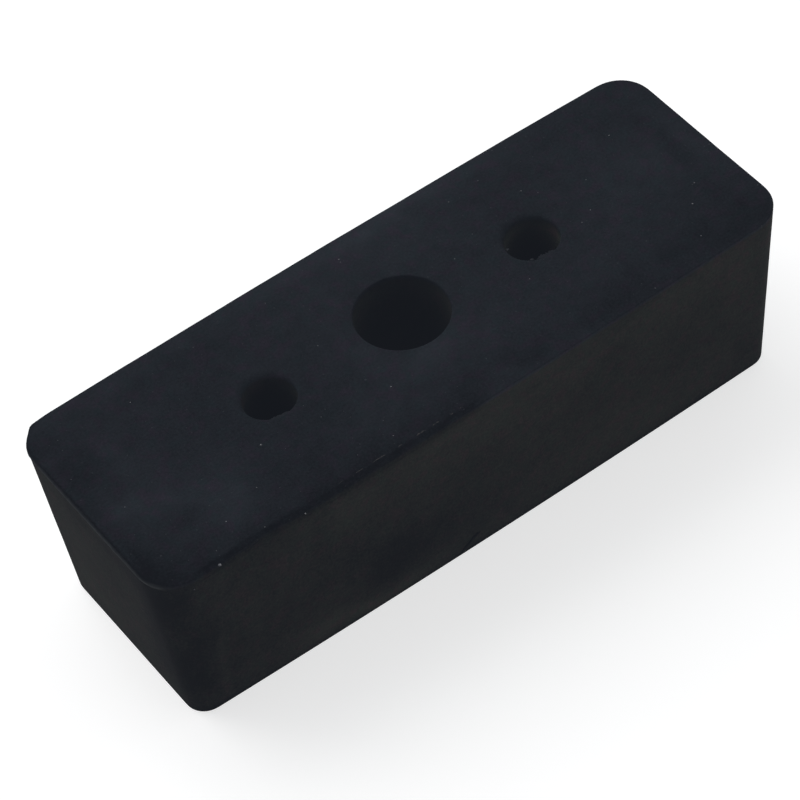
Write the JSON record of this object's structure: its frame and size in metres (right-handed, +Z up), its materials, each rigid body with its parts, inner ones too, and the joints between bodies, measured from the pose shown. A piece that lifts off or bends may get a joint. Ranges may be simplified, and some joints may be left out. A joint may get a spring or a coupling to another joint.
{
  "type": "rubber bump block",
  "caption": "Tapered moulded rubber bump block with a large centre hole and a bolt well each side of it, bonded round a steel core plate and bolt sleeves.",
  "frame": {"origin": "middle of the base, the smaller flat face that the block stands on", "axes": "+X along the block through the row of holes, +Y across it, +Z up to the larger flat face that takes the bump"},
  "size_m": [0.25, 0.089, 0.073],
  "materials": {
    "rubber": "matte, as moulded, lightly mottled and dusty",
    "plate_steel": "grit-blasted and primed for bonding",
    "sleeve_steel": "turned, plain"
  },
  "bodies": {
    "root": {"rubber_block": "rubber", "core_plate": "plate_steel", "bolt_sleeve_left": "sleeve_steel", "bolt_sleeve_right": "sleeve_steel"}
  },
  "joints": []
}
